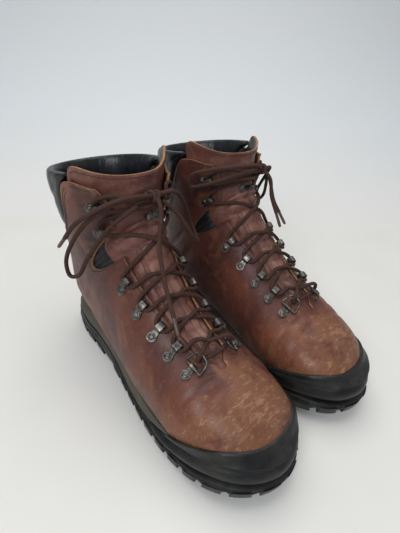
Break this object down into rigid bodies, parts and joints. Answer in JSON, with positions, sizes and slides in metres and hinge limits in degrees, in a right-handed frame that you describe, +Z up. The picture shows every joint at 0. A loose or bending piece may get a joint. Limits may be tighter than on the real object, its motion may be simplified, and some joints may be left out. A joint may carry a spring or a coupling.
{
  "type": "hiking boots",
  "caption": "Pair of laced ankle-high leather hiking boots with a padded collar, rubber toe rand and lugged sole.",
  "frame": {"origin": "on the ground, midway between the two boots and midway from heel to toe", "axes": "+Z up, toes towards -Y, right boot on the -X side and left boot on the +X side"},
  "size_m": [0.2592, 0.3114, 0.216],
  "materials": {
    "rubber": "matt black rubber with worn edges",
    "midsole": "grey-olive polyurethane foam",
    "leather": "worn brown full-grain leather",
    "tongue_leather": "worn brown leather",
    "collar": "creased black leather over foam",
    "lining": "dark woven lining",
    "stiffener": "moulded sheet",
    "steel": "flat spring steel",
    "board": "pressed fibre board",
    "footbed": "felt over foam",
    "hardware": "darkened nickel plating",
    "lace": "round braided polyester"
  },
  "bodies": {
    "right_boot": {"right_outsole": "rubber", "right_midsole": "midsole", "right_toe_rand": "rubber", "right_upper": "leather", "right_lining": "lining", "right_collar": "collar", "right_tongue": "tongue_leather", "right_heel_counter": "stiffener", "right_shank": "steel", "right_lasting_board": "board", "right_footbed": "footbed", "right_ring_strap_lateral": "hardware", "right_runner_lateral_1": "hardware", "right_runner_lateral_2": "hardware", "right_runner_lateral_3": "hardware", "right_runner_lateral_4": "hardware", "right_hook_lateral_1": "hardware", "right_hook_lateral_2": "hardware", "right_ring_strap_medial": "hardware", "right_runner_medial_1": "hardware", "right_runner_medial_2": "hardware", "right_runner_medial_3": "hardware", "right_runner_medial_4": "hardware", "right_hook_medial_1": "hardware", "right_hook_medial_2": "hardware", "right_tongue_hook": "hardware", "right_lace": "lace", "right_bow": "lace"},
    "right_lateral_ring": {"right_ring_lateral": "hardware"},
    "right_medial_ring": {"right_ring_medial": "hardware"},
    "left_boot": {"left_outsole": "rubber", "left_midsole": "midsole", "left_toe_rand": "rubber", "left_upper": "leather", "left_lining": "lining", "left_collar": "collar", "left_tongue": "tongue_leather", "left_heel_counter": "stiffener", "left_shank": "steel", "left_lasting_board": "board", "left_footbed": "footbed", "left_ring_strap_lateral": "hardware", "left_runner_lateral_1": "hardware", "left_runner_lateral_2": "hardware", "left_runner_lateral_3": "hardware", "left_runner_lateral_4": "hardware", "left_hook_lateral_1": "hardware", "left_hook_lateral_2": "hardware", "left_ring_strap_medial": "hardware", "left_runner_medial_1": "hardware", "left_runner_medial_2": "hardware", "left_runner_medial_3": "hardware", "left_runner_medial_4": "hardware", "left_hook_medial_1": "hardware", "left_hook_medial_2": "hardware", "left_tongue_hook": "hardware", "left_lace": "lace", "left_bow": "lace"},
    "left_lateral_ring": {"left_ring_lateral": "hardware"},
    "left_medial_ring": {"left_ring_medial": "hardware"}
  },
  "joints": [
    {"name": "left_boot_lift", "type": "slide", "parent": "right_boot", "child": "left_boot", "axis": [0, 0, 1], "range_m": [0, 0.24]},
    {"name": "right_lateral_ring_tilt", "type": "hinge", "parent": "right_boot", "child": "right_lateral_ring", "pos_m": [-0.08479, -0.06846, 0.08961], "axis": [0.1087, -0.9442, -0.3109], "range_deg": [-6, 8]},
    {"name": "right_medial_ring_tilt", "type": "hinge", "parent": "right_boot", "child": "right_medial_ring", "pos_m": [-0.03977, -0.06834, 0.08961], "axis": [0.0961, 0.9558, 0.2778], "range_deg": [-6, 8]},
    {"name": "left_lateral_ring_tilt", "type": "hinge", "parent": "left_boot", "child": "left_lateral_ring", "pos_m": [0.08479, -0.06846, 0.08961], "axis": [0.1087, 0.9442, 0.3109], "range_deg": [-6, 8]},
    {"name": "left_medial_ring_tilt", "type": "hinge", "parent": "left_boot", "child": "left_medial_ring", "pos_m": [0.03977, -0.06834, 0.08961], "axis": [0.0961, -0.9558, -0.2778], "range_deg": [-6, 8]}
  ]
}
